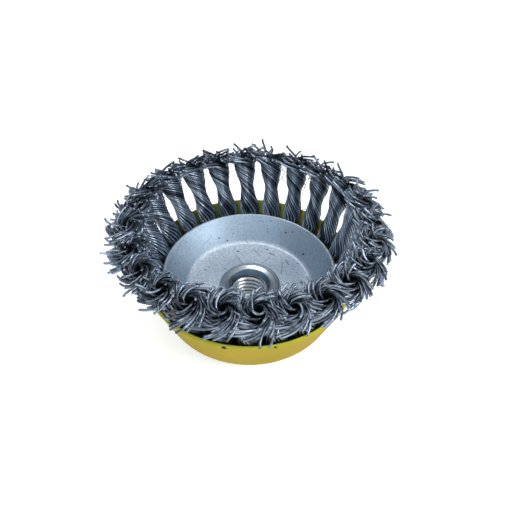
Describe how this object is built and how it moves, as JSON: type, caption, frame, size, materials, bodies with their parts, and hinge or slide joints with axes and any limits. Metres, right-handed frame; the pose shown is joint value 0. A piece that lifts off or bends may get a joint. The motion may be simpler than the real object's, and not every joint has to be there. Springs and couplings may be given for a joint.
{
  "type": "wire cup brush",
  "caption": "Bowl-shaped wire cup brush: yellow pressed cup, zinc-plated inner dish and threaded hub, with a ring of twisted steel wire knots that splay into shaggy tufts.",
  "frame": {"origin": "on the spindle axis at the hub's lower end face, which is the lowest face of the brush", "axes": "+Z along the spindle axis, from the machine side to the wire side; +X through the first knot's hole"},
  "size_m": [0.1014, 0.1014, 0.0475],
  "materials": {
    "yellow_paint": "satin yellow paint with small chips at the rim",
    "zinc_plate": "dull bright zinc plating with fine specks and scratches",
    "hub_zinc": "zinc plated turned steel",
    "plain_steel": "plain stamped steel",
    "wire_steel": "dark blue-grey drawn spring wire"
  },
  "bodies": {
    "root": {"outer_cup": "yellow_paint", "inner_plate": "zinc_plate", "knot_holder": "plain_steel", "threaded_hub": "hub_zinc", "knot_01": "wire_steel", "knot_02": "wire_steel", "knot_03": "wire_steel", "knot_04": "wire_steel", "knot_05": "wire_steel", "knot_06": "wire_steel", "knot_07": "wire_steel", "knot_08": "wire_steel", "knot_09": "wire_steel", "knot_10": "wire_steel", "knot_11": "wire_steel", "knot_12": "wire_steel", "knot_13": "wire_steel", "knot_14": "wire_steel", "knot_15": "wire_steel", "knot_16": "wire_steel", "knot_17": "wire_steel", "knot_18": "wire_steel", "knot_19": "wire_steel", "knot_20": "wire_steel", "knot_21": "wire_steel", "knot_22": "wire_steel", "knot_23": "wire_steel", "knot_24": "wire_steel"}
  },
  "joints": []
}
